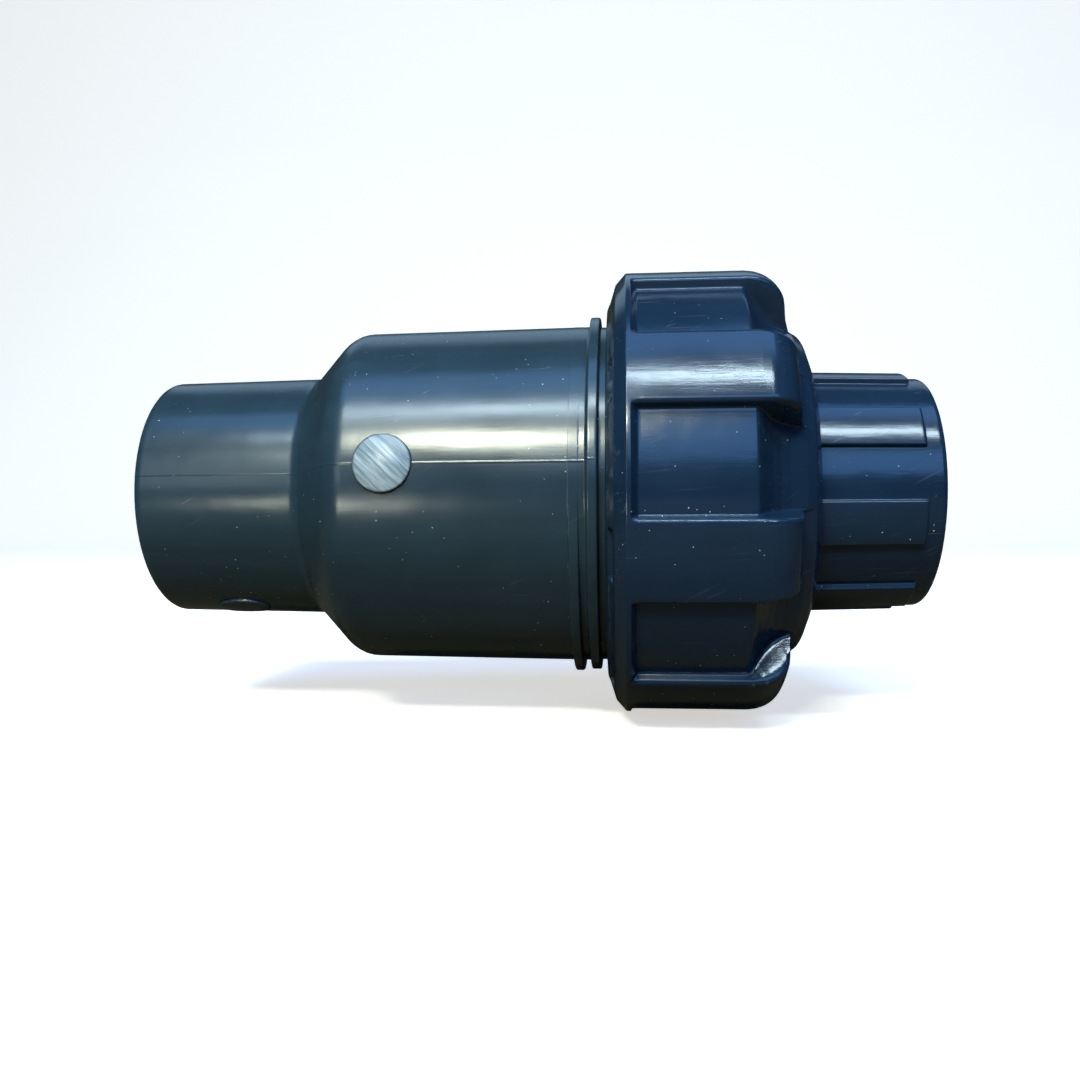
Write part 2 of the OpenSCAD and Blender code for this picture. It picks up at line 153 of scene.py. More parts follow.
def rounded(corners, steps=ARC_STEPS, support=0.25):
    """A closed outline with each corner (x, r, radius) turned into an arc, with a support point beside it."""
    points = np.array([c[:2] for c in corners], float)
    count = len(points)
    outline = []
    for i, (x, r, radius) in enumerate(corners):
        here = points[i]
        back, ahead = points[i - 1] - here, points[(i + 1) % count] - here
        back_l, ahead_l = np.linalg.norm(back), np.linalg.norm(ahead)
        back, ahead = back / back_l, ahead / ahead_l
        half = math.acos(float(np.clip(np.dot(back, ahead), -1, 1))) / 2
        turn = math.pi - 2 * half
        if turn < 0.03:
            start, end = here + back * min(0.05, back_l / 4), here + ahead * min(0.05, ahead_l / 4)
            arc = [start + (end - start) * k / steps for k in range(steps + 1)]
        else:
            reach = min(radius / math.tan(half), 0.42 * back_l, 0.42 * ahead_l)
            size = reach * math.tan(half)
            middle = (back + ahead) / np.linalg.norm(back + ahead)
            centre = here + middle * size / math.sin(half)
            start, end = here + back * reach - centre, here + ahead * reach - centre
            arc = [centre + (math.sin((1 - k / steps) * turn) * start
                   + math.sin(k / steps * turn) * end) / math.sin(turn) for k in range(steps + 1)]
        reach_back = np.linalg.norm(arc[0] - here)
        reach_ahead = np.linalg.norm(arc[-1] - here)
        outline.append(arc[0] + back * min(support, 0.15 * (back_l - reach_back)))
        outline += arc
        outline.append(arc[-1] + ahead * min(support, 0.15 * (ahead_l - reach_ahead)))
    return np.array(outline)


def oval_end(x, r, size_x, size_r, count=6):
    """Corners along a quarter of an oval, from its top to its far end."""
    corners = []
    for k in range(count + 1):
        t = math.pi / 2 * k / count
        corners.append((x + size_x * math.sin(t), r - size_r * (1 - math.cos(t)), 3.6))
    return corners


def on_axis(outline, angle, radial=0.0):
    """Outline points (x, r) placed at an angle below the horizontal, on the -Y side."""
    a = math.radians(angle)
    r = outline[:, 1] + radial
    return np.column_stack([outline[:, 0], -r * math.cos(a), -r * math.sin(a)])


def swept(loops):
    """Vertices and faces of a ring of closed outlines."""
    rows, cols = len(loops), len(loops[0])
    verts = np.vstack(loops)
    faces = []
    for j in range(rows):
        a, b = j * cols, (j + 1) % rows * cols
        for i in range(cols):
            k = (i + 1) % cols
            faces.append((a + i, a + k, b + k, b + i))
    return verts, faces


def joined(*shells):
    """Several (vertices, faces) shells as one."""
    verts, faces, base = [], [], 0
    for v, f in shells:
        verts.append(np.asarray(v, float))
        faces += [tuple(i + base for i in face) for face in f]
        base += len(v)
    return np.vstack(verts), faces


def step_track(radius, height, base_fillet, top_round, steps=5):
    """The rise from a valley to a lobe: (angle in degrees, share of the height) pairs."""
    draft = 0.06 * height
    pairs = []
    for k in range(steps + 1):
        t = math.pi / 2 * k / steps
        pairs.append((-base_fillet * (1 - math.sin(t)), base_fillet * (1 - math.cos(t))))
    for k in range(steps + 1):
        t = math.pi / 2 * k / steps
        pairs.append((draft + top_round * (1 - math.cos(t)), height - top_round * (1 - math.sin(t))))
    first, last = pairs[0], pairs[-1]
    pairs = [(first[0] - 0.3, 0.0)] + pairs + [(last[0] + 0.3, height)]
    return [(math.degrees(s / radius), h / height) for s, h in pairs]


def lobe_columns(centre_start, count, half, track, extra=()):
    """Every angle round the part that needs a column, with the share of lobe there."""
    period = 360.0 / count
    offsets, shares = [], []
    for angle, share in track:
        offsets.append(-half + angle)
        shares.append(share)
    for angle, share in reversed(track):
        offsets.append(half - angle)
        shares.append(share)
    fill = [-period / 2 + 1.5 * k for k in range(int(period / 1.5))]
    columns = sorted(set(np.round(list(offsets) + fill + list(extra), 5)))
    columns = [c for c in columns if -period / 2 <= c < period / 2]
    result = []
    for n in range(count):
        for c in columns:
            result.append((centre_start + n * period + c, c, float(np.interp(c, offsets, shares))))
    return result


def helical_ridge(section, x_from, x_to, start_angle, fade=35.0, steps_per_turn=60):
    """A right-handed thread ridge. section: (x offset, r) at full height, and the root radius it fades to."""
    points, root_r = section
    turns = (x_to - x_from) / PITCH
    steps = int(turns * steps_per_turn)
    verts = []
    for k in range(steps + 1):
        turn = k / steps_per_turn
        edge = min(turn, steps / steps_per_turn - turn) * 360.0
        share = min(1.0, edge / fade)
        share = share * share * (3 - 2 * share)
        a = math.radians(start_angle + 360.0 * turn)
        for dx, r in points:
            radius = root_r + (r - root_r) * share
            verts.append((x_from + turn * PITCH + dx, radius * math.sin(a), -radius * math.cos(a)))
    n = len(points)
    faces = [(n * k + i, n * k + (i + 1) % n, n * (k + 1) + (i + 1) % n, n * (k + 1) + i)
             for k in range(steps) for i in range(n)]
    faces.append(tuple(range(n))[::-1])
    faces.append(tuple(n * steps + i for i in range(n)))
    return verts, faces


def ridge_section(base_r, crest_r, base_w, crest_w, root_r):
    """Trapezium with eased crest corners."""
    ease = 0.25 * (1 if crest_r > base_r else -1)
    points = [(-base_w / 2, base_r), (-crest_w / 2 - 0.12, crest_r - ease), (-crest_w / 2 + 0.12, crest_r),
              (crest_w / 2 - 0.12, crest_r), (crest_w / 2 + 0.12, crest_r - ease), (base_w / 2, base_r)]
    return points, root_r


# ---------------------------------------------------------------- node helpers
def node(tree, kind, place=(0, 0), inputs=None, **settings):
    n = tree.nodes.new(kind)
    n.location = place
    for key, value in settings.items():
        setattr(n, key, value)
    for key, value in (inputs or {}).items():
        if isinstance(value, bpy.types.NodeSocket):
            tree.links.new(value, n.inputs[key])
        else:
            n.inputs[key].default_value = value
    return n


def object_coords(tree):
    return node(tree, "ShaderNodeTexCoord").outputs["Object"]


def noise(tree, vector, scale, detail, roughness=0.5):
    return node(tree, "ShaderNodeTexNoise", inputs={
        "Vector": vector, "Scale": scale, "Detail": detail, "Roughness": roughness}).outputs[0]


def ramp(tree, value, low, high):
    """0 below low, 1 above high."""
    return node(tree, "ShaderNodeMapRange", inputs={
        "Value": value, "From Min": low, "From Max": high}).outputs[0]


def stretched(tree, vector, scale):
    return node(tree, "ShaderNodeMapping", inputs={"Vector": vector, "Scale": scale}).outputs[0]


def wire_surface(tree, shader, tint, rough, height, strength, distance):
    """Colour, roughness and a bump from a height into the shader."""
    bumped = node(tree, "ShaderNodeBump", inputs={
        "Strength": strength, "Distance": distance, "Height": height}).outputs[0]
    tree.links.new(tint, shader.inputs["Base Color"])
    tree.links.new(rough, shader.inputs["Roughness"])
    tree.links.new(bumped, shader.inputs["Normal"])


def math_node(tree, operation, a, b=0.0, c=None, clamp=False):
    inputs = {0: a, 1: b}
    if c is not None:
        inputs[2] = c
    return node(tree, "ShaderNodeMath", inputs=inputs, operation=operation, use_clamp=clamp).outputs[0]


def shader_group(name, inputs, outputs):
    """An empty shader group with its sockets: inputs {name: (type, default)}, outputs {name: type}."""
    tree = bpy.data.node_groups.new(name, "ShaderNodeTree")
    for key, (kind, default) in inputs.items():
        socket = tree.interface.new_socket(name=key, in_out="INPUT", socket_type=kind)
        socket.default_value = default
    for key, kind in outputs.items():
        tree.interface.new_socket(name=key, in_out="OUTPUT", socket_type=kind)
    return tree, tree.nodes.new("NodeGroupInput"), tree.nodes.new("NodeGroupOutput")


FLOAT = "NodeSocketFloat"
COLOR = "NodeSocketColor"


def make_scratches():
    """Fine straight scratches in patches. Out: a mask."""
    tree, gin, gout = shader_group("handling_scratches", {
        "Scale": (FLOAT, 1.0), "Amount": (FLOAT, 0.5), "Angle": (FLOAT, 0.0)}, {"Mask": FLOAT})
    coords = object_coords(tree)
    turned = node(tree, "ShaderNodeVectorRotate", inputs={"Vector": coords, "Angle": gin.outputs["Angle"]},
                  rotation_type="Y_AXIS").outputs[0]
    long_way = stretched(tree, turned, (60, 900, 2600))
    sized = node(tree, "ShaderNodeVectorMath", inputs={0: long_way, "Scale": gin.outputs["Scale"]},
                 operation="SCALE").outputs[0]
    lines = noise(tree, sized, 1.0, 2.0, 0.6)
    patches = noise(tree, coords, 190.0, 2.0)
    thin = ramp(tree, lines, 0.64, 0.74)
    some = ramp(tree, patches, 0.48, 0.66)
    lasting = math_node(tree, "MULTIPLY", thin, some)
    mask = math_node(tree, "MULTIPLY", lasting, gin.outputs["Amount"], clamp=True)
    tree.links.new(mask, gout.inputs["Mask"])
    return tree


def make_dust():
    """Specks of dust, each a small irregular dot. Out: a mask."""
    tree, gin, gout = shader_group("dust_specks", {
        "Scale": (FLOAT, 2100.0), "Share": (FLOAT, 0.04), "Size": (FLOAT, 0.12)}, {"Mask": FLOAT})
    coords = object_coords(tree)
    wobble = node(tree, "ShaderNodeTexNoise", inputs={
        "Vector": coords, "Scale": 2600.0, "Detail": 2.0}).outputs["Color"]
    bent = node(tree, "ShaderNodeMixRGB", inputs={
        "Fac": 0.00035, "Color1": coords, "Color2": wobble}).outputs[0]
    cells = node(tree, "ShaderNodeTexVoronoi", inputs={
        "Vector": bent, "Scale": gin.outputs["Scale"]}, feature="F1")
    near = math_node(tree, "LESS_THAN", cells.outputs["Distance"], gin.outputs["Size"])
    split = node(tree, "ShaderNodeSeparateColor", inputs={0: cells.outputs["Color"]})
    chosen = math_node(tree, "LESS_THAN", split.outputs[0], gin.outputs["Share"])
    patches = noise(tree, coords, 90.0, 1.0)
    some = ramp(tree, patches, 0.42, 0.62)
    mask = math_node(tree, "MULTIPLY", math_node(tree, "MULTIPLY", near, chosen), some)
    tree.links.new(mask, gout.inputs["Mask"])
    return tree


def make_moulded_skin():
    """Skin of an injection moulding: slow cloudy tone, faint flow streaks along X, fine grain height."""
    tree, gin, gout = shader_group("moulded_skin", {
        "Color": (COLOR, (0.05, 0.07, 0.08, 1)), "Cloud": (FLOAT, 0.25), "Grain": (FLOAT, 5200.0)},
        {"Color": COLOR, "Tone": FLOAT, "Height": FLOAT})
    coords = object_coords(tree)
    cloud = noise(tree, coords, 70.0, 5.0, 0.6)
    along = stretched(tree, coords, (30, 420, 420))
    streak = noise(tree, along, 1.0, 3.0)
    tone = math_node(tree, "MULTIPLY_ADD", streak, 0.4, math_node(tree, "MULTIPLY", cloud, 0.6))
    spread = ramp(tree, tone, 0.32, 0.68)
    off_middle = math_node(tree, "SUBTRACT", spread, 0.5)
    gain = math_node(tree, "MULTIPLY_ADD", off_middle, gin.outputs["Cloud"], 1.0)
    hue = node(tree, "ShaderNodeHueSaturation", inputs={
        "Color": gin.outputs["Color"], "Value": gain}).outputs[0]
    grain = noise(tree, coords, gin.outputs["Grain"], 2.0)
    wave = noise(tree, coords, 260.0, 1.0)
    drawn = stretched(tree, coords, (260, 3600, 3600))
    lines = noise(tree, drawn, 1.0, 2.0)
    height = math_node(tree, "MULTIPLY_ADD", wave, 3.0, math_node(tree, "MULTIPLY", grain, 0.35))
    height = math_node(tree, "MULTIPLY_ADD", lines, 0.4, height)
    tree.links.new(hue, gout.inputs["Color"])
    tree.links.new(spread, gout.inputs["Tone"])
    tree.links.new(height, gout.inputs["Height"])
    return tree


def make_edge_wear():
    """Rubbed edges, from how sharply the surface turns. Out: a mask."""
    tree, gin, gout = shader_group("edge_wear", {"Amount": (FLOAT, 0.5)}, {"Mask": FLOAT})
    turn = node(tree, "ShaderNodeNewGeometry").outputs["Pointiness"]
    coords = object_coords(tree)
    patchy = noise(tree, coords, 800.0, 3.0)
    edge = ramp(tree, turn, 0.535, 0.62)
    some = ramp(tree, patchy, 0.4, 0.65)
    mask = math_node(tree, "MULTIPLY", math_node(tree, "MULTIPLY", edge, some), gin.outputs["Amount"])
    tree.links.new(mask, gout.inputs["Mask"])
    return tree


SCRATCHES = make_scratches()
DUST = make_dust()
SKIN = make_moulded_skin()
WEAR = make_edge_wear()


def group(tree, which, **inputs):
    return node(tree, "ShaderNodeGroup", inputs=inputs, node_tree=which)


def blank_material(name):
    material = bpy.data.materials.new(name)
    material.use_nodes = True
    tree = material.node_tree
    shader = tree.nodes["Principled BSDF"]
    return material, tree, shader


def mix(tree, factor, a, b):
    return node(tree, "ShaderNodeMixRGB", inputs={"Fac": factor, "Color1": a, "Color2": b}).outputs[0]


def moulded_plastic(name, color, roughness, cloud=0.3, scratches=0.6, dust=0.05, bump=0.06):
    """Rigid moulded plastic with scratches, dust and rubbed edges."""
    material, tree, shader = blank_material(name)
    skin = group(tree, SKIN, Color=(*color, 1), Cloud=cloud)
    cross = group(tree, SCRATCHES, Scale=0.8, Amount=scratches, Angle=0.5)
    along = group(tree, SCRATCHES, Scale=1.3, Amount=scratches, Angle=0.05)
    both = math_node(tree, "MAXIMUM", cross.outputs[0], along.outputs[0])
    specks = group(tree, DUST, Share=dust).outputs[0]
    worn = group(tree, WEAR, Amount=0.45).outputs[0]
    tint = mix(tree, math_node(tree, "MULTIPLY", both, 0.35), skin.outputs["Color"], (0.22, 0.26, 0.3, 1))
    tint = mix(tree, worn, tint, (0.13, 0.16, 0.18, 1))
    tint = mix(tree, specks, tint, (0.62, 0.64, 0.62, 1))
    rough = math_node(tree, "MULTIPLY_ADD", skin.outputs["Tone"], 0.1, roughness - 0.05)
    rough = math_node(tree, "ADD", rough, math_node(tree, "MULTIPLY", both, 0.25))
    rough = math_node(tree, "ADD", rough, math_node(tree, "MULTIPLY", specks, 0.5), clamp=True)
    height = math_node(tree, "SUBTRACT", skin.outputs["Height"], math_node(tree, "MULTIPLY", both, 0.5))
    wire_surface(tree, shader, tint, rough, height, strength=bump, distance=0.0002)
    shader.inputs["IOR"].default_value = 1.53
    return material


def cut_plastic(name, color):
    """The trimmed gate: a flat face shaved by a cutter, with slanting marks, and a painted shade ring round
    its edge.
    """
    material, tree, shader = blank_material(name)
    coords = object_coords(tree)
    turned = node(tree, "ShaderNodeVectorRotate", inputs={"Vector": coords, "Angle": math.radians(-42)},
                  rotation_type="Y_AXIS").outputs[0]
    narrow = stretched(tree, turned, (200, 200, 2600))
    lines = noise(tree, narrow, 1.0, 4.0, 0.65)
    broad = noise(tree, narrow, 0.35, 1.0)
    pale = ramp(tree, lines, 0.36, 0.7)
    tint = mix(tree, pale, (*color, 1), (0.55, 0.63, 0.68, 1))
    tint = mix(tree, math_node(tree, "MULTIPLY", broad, 0.7), tint, (0.12, 0.16, 0.19, 1))
    # Painted shade: a dark ring just inside the disc's edge, standing in for the shade on its side wall.
    turn = math.radians(PARTING_ANGLE)
    middle = (GATE_X * MM, -CHAMBER_R * MM * math.cos(turn), -CHAMBER_R * MM * math.sin(turn))
    away = node(tree, "ShaderNodeVectorMath", inputs={0: coords, 1: middle},
                operation="DISTANCE").outputs["Value"]
    gate_edge_painted_shade = ramp(tree, away, GATE_R * 0.93 * MM, GATE_R * 1.0 * MM)
    tint = mix(tree, gate_edge_painted_shade, tint, (0.008, 0.014, 0.018, 1))
    rough = math_node(tree, "MULTIPLY_ADD", broad, 0.5, 0.12)
    wire_surface(tree, shader, tint, rough, lines, strength=0.35, distance=0.0002)
    return material


def seal_rubber():
    material, tree, shader = blank_material("seal_rubber")
    coords = object_coords(tree)
    grain = noise(tree, coords, 2400.0, 4.0)
    bloom = noise(tree, coords, 160.0, 3.0)
    half_bloom = math_node(tree, "MULTIPLY", bloom, 0.5)
    tint = mix(tree, half_bloom, (0.012, 0.012, 0.013, 1), (0.05, 0.05, 0.05, 1))
    rough = math_node(tree, "MULTIPLY_ADD", bloom, 0.3, 0.42)
    wire_surface(tree, shader, tint, rough, grain, strength=0.15, distance=0.0001)
    return material


def stainless_steel():
    material, tree, shader = blank_material("stainless_steel")
    coords = object_coords(tree)
    fine = stretched(tree, coords, (900, 3000, 3000))
    drawn = noise(tree, fine, 1.0, 4.0)
    tint = mix(tree, drawn, (0.5, 0.5, 0.49, 1), (0.68, 0.68, 0.67, 1))
    rough = math_node(tree, "MULTIPLY_ADD", drawn, 0.25, 0.16)
    wire_surface(tree, shader, tint, rough, drawn, strength=0.08, distance=0.0001)
    shader.inputs["Metallic"].default_value = 1.0
    return material


BODY_PLASTIC = moulded_plastic(
    "body_plastic", (0.016, 0.033, 0.048), 0.23, cloud=0.35, scratches=0.16, dust=0.07)
NUT_PLASTIC = moulded_plastic(
    "nut_plastic", (0.007, 0.020, 0.044), 0.17, cloud=0.3, scratches=0.3, dust=0.05, bump=0.09)
INNER_PLASTIC = moulded_plastic("inner_plastic", (0.07, 0.078, 0.085), 0.42, scratches=0.1, dust=0.0)
BUSH_PLASTIC = moulded_plastic("bush_plastic", (0.62, 0.59, 0.52), 0.45, cloud=0.1, scratches=0.1, dust=0.0)
GATE_PLASTIC = cut_plastic("gate_plastic", (0.09, 0.13, 0.16))
RUBBER = seal_rubber()
STEEL = stainless_steel()


# ---------------------------------------------------------------- valve body
def body_outline(ridge):
    """Outline of the body, with the ridge beside the collar at the given height."""
    ridge_end = X_COLLAR - RIDGE_GAP
    ridge_start = ridge_end - RIDGE_T
    slope = (CHAMBER_ROOT_R - CHAMBER_R) / (X_COLLAR - X_CHAMBER)
    at_ridge = CHAMBER_R + slope * (ridge_start - X_CHAMBER)
    corners = [
        (X_OUT + MOUTH_CHAMFER, SOCKET_BORE_R, 0.15), (X_OUT, SOCKET_BORE_R + MOUTH_CHAMFER, 0.15),
        (X_OUT, OUTLET_R, 1.0), (X_CONE, OUTLET_ROOT_R, 1.8), (X_CHAMBER, CHAMBER_R, 4.2),
        (ridge_start, at_ridge, 0.25), (ridge_start + 0.1, at_ridge + ridge, 0.25),
        (ridge_end - 0.1, at_ridge + ridge, 0.25), (ridge_end, at_ridge, 0.2),
        (X_COLLAR, CHAMBER_ROOT_R, 0.3), (X_COLLAR + 0.05, COLLAR_R, 0.22),
        (X_COLLAR + COLLAR_T, COLLAR_R, 0.22), (X_COLLAR + COLLAR_T, THREAD_ROOT_R, 0.2),
        (X_BODY_END - 0.7, THREAD_ROOT_R, 0.2), (X_BODY_END, THREAD_ROOT_R - 0.7, 0.2),
        (X_BODY_END, SEAT_BED_R, 0.1), (X_SEAT, SEAT_BED_R, 0.05), (X_SEAT, CHAMBER_BORE_R, 0.1),
        (X_STEP, CHAMBER_BORE_R, 0.1), (X_STEP, STEP_R, 0.2),
        (X_STEP - (STEP_R - WATERWAY_R), WATERWAY_R, 1.0), (X_OUT + SOCKET_DEPTH, WATERWAY_R, 0.3),
        (X_OUT + SOCKET_DEPTH, SOCKET_BORE_R, 0.2)]
    return rounded(corners)


def ridge_height(angle):
    """How far the lowered disc of the ridge stands out at an angle below the horizontal."""
    down = math.sin(math.radians(angle))
    reach = RIDGE_DROP * down + math.sqrt(CHAMBER_ROOT_R ** 2 - (RIDGE_DROP ** 2) * (1 - down ** 2))
    return max(0.02, reach - CHAMBER_ROOT_R + 0.04)


def build_body():
    full, none = body_outline(RIDGE_DROP), body_outline(0.02)
    outer = (none[:, 0] < X_COLLAR + 0.5) & (none[:, 1] > OUTLET_R - 1.2)
    angles = set(np.arange(0, 360, 1.5))
    for line in (PARTING_ANGLE, PARTING_ANGLE + 180):
        for k in range(-6, 7):
            angles.add((line + 0.22 * k) % 360)
    loops = []
    for angle in sorted(angles):
        share = (ridge_height(angle) - 0.02) / (RIDGE_DROP - 0.02)
        outline = none + (full - none) * share
        away = min(abs((angle - PARTING_ANGLE + 90) % 180 - 90), 3.0)
        distance = math.radians(away) * none[:, 1]
        flash = PARTING_H * np.clip(1 - distance / PARTING_W, 0, 1)
        loops.append(on_axis(outline, angle, np.where(outer, flash, 0.0)))
    thread = helical_ridge(ridge_section(THREAD_ROOT_R - 0.35, THREAD_R, 2.3, 1.0, THREAD_ROOT_R - 0.4),
                           X_NUT + THREAD_RUNIN, X_BODY_END - THREAD_RUNIN, 5.0)
    return mesh_object("valve_body_shell", *joined(swept(loops), thread), BODY_PLASTIC)


def build_gate():
    """Flat disc left where the moulding's runner was cut off."""
    ring_steps = 72
    profile = [(0.0, 0.0), (0.985, 0.0), (1.0, -0.06), (1.012, -0.2), (1.02, -1.2)]
    top = CHAMBER_R + GATE_H + 0.05
    verts = [(GATE_X, -top, 0.0)]
    for share, drop in profile[1:]:
        for k in range(ring_steps):
            a = 2 * math.pi * k / ring_steps
            wobble = 1 + 0.008 * math.sin(3 * a + 0.7) + 0.005 * math.sin(7 * a)
            r = GATE_R * share * wobble
            verts.append((GATE_X + r * math.cos(a), -(top + drop), r * math.sin(a)))
    faces = [(0, 1 + k, 1 + (k + 1) % ring_steps) for k in range(ring_steps)]
    for ring in range(len(profile) - 2):
        base = 1 + ring * ring_steps
        for k in range(ring_steps):
            n = (k + 1) % ring_steps
            faces.append((base + k, base + ring_steps + k, base + ring_steps + n, base + n))
    last = 1 + (len(profile) - 2) * ring_steps
    faces.append(tuple(last + k for k in range(ring_steps))[::-1])
    turn = Matrix.Rotation(math.radians(PARTING_ANGLE), 3, "X")
    verts = [turn @ Vector(v) for v in verts]
    return mesh_object("trimmed_gate", [tuple(v) for v in verts], faces, GATE_PLASTIC)


def socket_patch(name, outline, x, angle, height, material):
    """A raised blank shape on the outlet socket, given as an outline of (x, arc length) points."""
    inner = OUTLET_R - 0.3
    outer = OUTLET_R + (OUTLET_ROOT_R - OUTLET_R) * (x - X_OUT) / (X_CONE - X_OUT) + height
    centre = np.mean(outline, axis=0)
    rings = [(1.0, inner), (1.0, outer - 0.08), (0.97, outer), (0.6, outer), (0.25, outer)]
    verts = []
    for share, r in rings:
        for px, ps in outline:
            px, ps = centre[0] + (px - centre[0]) * share, centre[1] + (ps - centre[1]) * share
            a = math.radians(angle) + ps / OUTLET_ROOT_R
            verts.append((x + px, -r * math.cos(a), -r * math.sin(a)))
    a = math.radians(angle) + centre[1] / OUTLET_ROOT_R
    verts.append((x + centre[0], -outer * math.cos(a), -outer * math.sin(a)))
    n, last = len(outline), len(verts) - 1
    faces = [(n * j + k, n * j + (k + 1) % n, n * (j + 1) + (k + 1) % n, n * (j + 1) + k)
             for j in range(len(rings) - 1) for k in range(n)]
    faces += [(n * (len(rings) - 1) + k, n * (len(rings) - 1) + (k + 1) % n, last) for k in range(n)]
    faces.append(tuple(range(n))[::-1])
    return mesh_object(name, verts, faces, material)


def build_marks():
    """Blank oval pad under the outlet socket."""
    oval = [(3.5 * math.cos(t), 2.3 * math.sin(t)) for t in np.linspace(0, 2 * math.pi, 40, endpoint=False)]
    pad = socket_patch("marking_pad", oval, MARK_X, MARK_ANGLE, 0.35, BODY_PLASTIC)
    return [pad]


# ---------------------------------------------------------------- union nut
def nut_outlines():
    """Outlines of the nut through a valley and through a lobe, corner for corner."""
    x, r, low, front = X_NUT, NUT_R, NUT_VALLEY_R, X_NUT_FRONT
    start = [(x + 0.5, NUT_BORE_R, 0.1), (x, NUT_BORE_R + 0.5, 0.15)]
    slant = [(x + 0.33, 25.5, 0.02), (x + 0.34, 25.54, 0.02), (x + 0.88, 27.26, 0.02),
             (x + 0.9, 27.3, 0.02)]
    chamfer = [(x + 1.1, 27.9, 0.3), (x + 2.4, r, 0.35)]
    dome = [(front - 0.9, 20.9, 1.2), (front, 18.7, 0.7), (front, NUT_HOLE_R + 0.4, 0.2),
            (front - 0.4, NUT_HOLE_R, 0.2)]
    inside = [(X_SHOULDER, NUT_HOLE_R, 0.2), (X_SHOULDER, NUT_BORE_R, 0.4)]
    slopes = [(-0.9, 0.0), (-0.3, 0.9), (0.3, 2.0), (1.1, 3.2),
              (2.1, 4.3), (3.3, 5.1), (4.6, 5.7), (5.4, 6.1)]
    shoulder = [(X_SHOULDER + along, low - drop, 0.7) for along, drop in slopes]
    step = [(x + 2.95, r, 0.12), (x + 3.7, low, 0.35)]
    valley = start + slant + chamfer + step + shoulder + dome + inside
    rounding = oval_end(X_SHOULDER - 0.2, r, LOBE_END_L, LOBE_END_H)
    lobe = start + slant + chamfer + [(x + 2.95, r, 0.12), (x + 3.7, r, 0.35)] + rounding + [
        (X_SHOULDER + LOBE_END_L - 0.1, 22.2, 0.3)] + dome + inside
    valley, lobe = rounded(valley), rounded(lobe)
    return valley, lobe, pocket_mask(len(start), len(valley))


def pocket_mask(before, count):
    """Which of count outline points belong to the floor of the pocket in the nut's left face."""
    mask = np.zeros(count, bool)
    mask[(before + 1) * POINTS_PER_CORNER:(before + 3) * POINTS_PER_CORNER] = True
    return mask


def build_nut():
    valley, lobe, floor = nut_outlines()
    track = step_track(NUT_R, NUT_R - NUT_VALLEY_R, 0.35, 0.6)
    pocket_edges = [side * (POCKET_HALF + d) for side in (-1, 1) for d in (-0.35, -0.15, 0.0, 0.15)]
    loops = []
    for angle, offset, share in lobe_columns(NUT_LOBE_START, NUT_LOBES, NUT_LOBE_HALF, track, pocket_edges):
        outline = valley + (lobe - valley) * share
        deep = float(np.clip((POCKET_HALF + 0.15 - abs(offset)) / 0.3, 0, 1))
        outline = outline.copy()
        outline[floor, 0] += POCKET_DEPTH * deep
        loops.append(on_axis(outline, angle))
    thread = helical_ridge(ridge_section(NUT_BORE_R + 0.35, NUT_BORE_R - 1.4, 2.3, 1.0, NUT_BORE_R + 0.4),
                           X_NUT + THREAD_RUNIN + PITCH / 2, X_BODY_END - THREAD_RUNIN / 2, 5.0)
    return mesh_object("union_nut_shell", *joined(swept(loops), thread), NUT_PLASTIC)


# ---------------------------------------------------------------- end connector
def connector_outlines():
    """Outlines of the connector through a valley and through a pad, corner for corner."""
    neck_r, end_r = PAD_R - VALLEY_DEPTH, PAD_END_R - VALLEY_DEPTH
    x_neck = X_FLANGE + FLANGE_T
    x_pad_end = X_IN - PAD_LIP
    start = [(X_FLANGE + 0.4, WATERWAY_R, 0.1), (X_FLANGE, WATERWAY_R + 0.4, 0.1),
             (X_FLANGE, FLANGE_R, 0.4), (x_neck, FLANGE_R, 0.4)]
    finish = [(X_IN, end_r, 1.7), (X_IN, SOCKET_BORE_R + MOUTH_CHAMFER, 0.15),
              (X_IN - MOUTH_CHAMFER, SOCKET_BORE_R, 0.15), (X_IN - SOCKET_DEPTH, SOCKET_BORE_R, 0.2),
              (X_IN - SOCKET_DEPTH, WATERWAY_R, 0.3)]
    valley = start + [(x_neck, neck_r, 0.6), (x_pad_end - 0.4, end_r + 0.03, 0.1),
                      (x_pad_end, end_r + 0.01, 0.1)] + finish
    pad = start + [(x_neck, PAD_R, 0.6), (x_pad_end - 0.1, PAD_END_R, 0.35),
                   (x_pad_end, end_r + 0.01, 0.15)] + finish
    return rounded(valley), rounded(pad)


def build_connector():
    valley, pad = connector_outlines()
    track = step_track(PAD_R, VALLEY_DEPTH, 0.15, 0.22)
    loops = [on_axis(valley + (pad - valley) * share, angle)
             for angle, offset, share in lobe_columns(PAD_START, PADS, PAD_HALF, track)]
    return mesh_object("end_connector_shell", *swept(loops), NUT_PLASTIC)


